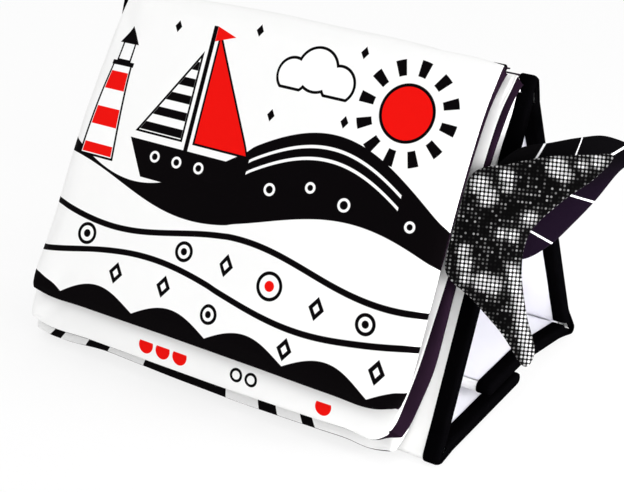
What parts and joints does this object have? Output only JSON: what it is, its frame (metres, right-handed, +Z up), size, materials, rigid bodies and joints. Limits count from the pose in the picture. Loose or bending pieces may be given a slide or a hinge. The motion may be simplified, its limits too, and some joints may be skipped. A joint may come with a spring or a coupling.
{
  "type": "tummy time book",
  "caption": "Soft cloth flip book for tummy time: padded leaves with sewn tails that turn over the ridge of a folding padded tent stand.",
  "frame": {"origin": "on the table, at the middle of the stand's base: half way along its width, and half way between its front and back fold lines", "axes": "+X along the ridge to the end where the tails are, +Y from the leaves to the back of the stand, +Z up"},
  "size_m": [0.3038, 0.1821, 0.1912],
  "materials": {
    "white_cloth": "matte",
    "lining_cloth": "matte",
    "print_cloth": "matte",
    "black_cloth": "matte",
    "binding_tape": "matte",
    "wadding_felt": "matte",
    "board_card": "matte",
    "foam_white": "matte",
    "crinkle_film": "glossy",
    "hook_tape": "matte",
    "loop_tape": "matte",
    "foil_dot_cloth": "glossy",
    "satin_cloth": "satin"
  },
  "bodies": {
    "front_panel": {"front_panel_cover": "white_cloth", "front_panel_lining": "lining_cloth", "front_panel_wadding": "wadding_felt", "front_panel_board": "board_card", "front_panel_binding_left": "binding_tape", "front_panel_binding_right": "binding_tape", "ridge_piping": "binding_tape"},
    "back_panel": {"back_panel_cover": "white_cloth", "back_panel_lining": "lining_cloth", "back_panel_wadding": "wadding_felt", "back_panel_board": "board_card", "back_panel_binding_left": "binding_tape", "back_panel_binding_right": "binding_tape"},
    "front_flap": {"front_flap_cover": "white_cloth", "front_flap_lining": "lining_cloth", "front_flap_wadding": "wadding_felt", "front_flap_board": "board_card", "front_flap_binding_left": "binding_tape", "front_flap_binding_right": "binding_tape", "hook_strip": "hook_tape"},
    "back_flap": {"back_flap_cover": "white_cloth", "back_flap_lining": "lining_cloth", "back_flap_wadding": "wadding_felt", "back_flap_board": "board_card", "back_flap_binding_left": "binding_tape", "back_flap_binding_right": "binding_tape", "loop_strip": "loop_tape"},
    "leaf_3": {"leaf_3_front_cloth": "print_cloth", "leaf_3_back_cloth": "black_cloth", "leaf_3_foam": "foam_white", "leaf_3_crinkle_film": "crinkle_film", "leaf_3_header": "black_cloth"},
    "leaf_2": {"leaf_2_front_cloth": "print_cloth", "leaf_2_back_cloth": "black_cloth", "leaf_2_foam": "foam_white", "leaf_2_crinkle_film": "crinkle_film", "leaf_2_header": "black_cloth"},
    "leaf_1": {"leaf_1_front_cloth": "print_cloth", "leaf_1_back_cloth": "black_cloth", "leaf_1_foam": "foam_white", "leaf_1_crinkle_film": "crinkle_film", "leaf_1_header": "black_cloth"},
    "leaf_1_tail": {"leaf_1_tail_front": "foil_dot_cloth", "leaf_1_tail_back": "black_cloth", "leaf_1_tail_wadding": "wadding_felt"},
    "leaf_2_tail": {"leaf_2_tail_front": "satin_cloth", "leaf_2_tail_back": "satin_cloth", "leaf_2_tail_wadding": "wadding_felt"}
  },
  "joints": [
    {"name": "stand_fold", "type": "hinge", "parent": "front_panel", "child": "back_panel", "pos_m": [0, 0, 0.17883], "axis": [1, 0, 0], "range_deg": [0, 129]},
    {"name": "front_flap_fold", "type": "hinge", "parent": "front_panel", "child": "front_flap", "pos_m": [0, -0.085, 0], "axis": [1, 0, 0], "range_deg": [-115.2, 0]},
    {"name": "back_flap_fold", "type": "hinge", "parent": "back_panel", "child": "back_flap", "pos_m": [0, 0.07292, 0.00794], "axis": [1, 0, 0], "range_deg": [-54, 0]},
    {"name": "leaf_3_flip", "type": "hinge", "parent": "front_panel", "child": "leaf_3", "pos_m": [0, 0, 0.17692], "axis": [1, 0, 0], "range_deg": [-18, 0]},
    {"name": "leaf_2_flip", "type": "hinge", "parent": "leaf_3", "child": "leaf_2", "pos_m": [0, 0, 0.17692], "axis": [1, 0, 0], "range_deg": [-22, 0]},
    {"name": "leaf_1_flip", "type": "hinge", "parent": "leaf_2", "child": "leaf_1", "pos_m": [0, 0, 0.17692], "axis": [1, 0, 0], "range_deg": [-145, 0]},
    {"name": "leaf_1_tail_swing", "type": "hinge", "parent": "leaf_1", "child": "leaf_1_tail", "pos_m": [0.11576, -0.05702, 0.12012], "axis": [0.0343, 0.429, 0.9026], "range_deg": [-110, 0]},
    {"name": "leaf_2_tail_swing", "type": "hinge", "parent": "leaf_2", "child": "leaf_2_tail", "pos_m": [0.12069, -0.04922, 0.11254], "axis": [0.0562, 0.4286, 0.9017], "range_deg": [-9, 16]}
  ],
  "couplings": [
    {"joint": "front_flap_fold", "follows": "stand_fold", "ratio": -0.89},
    {"joint": "back_flap_fold", "follows": "stand_fold", "ratio": -0.415}
  ]
}
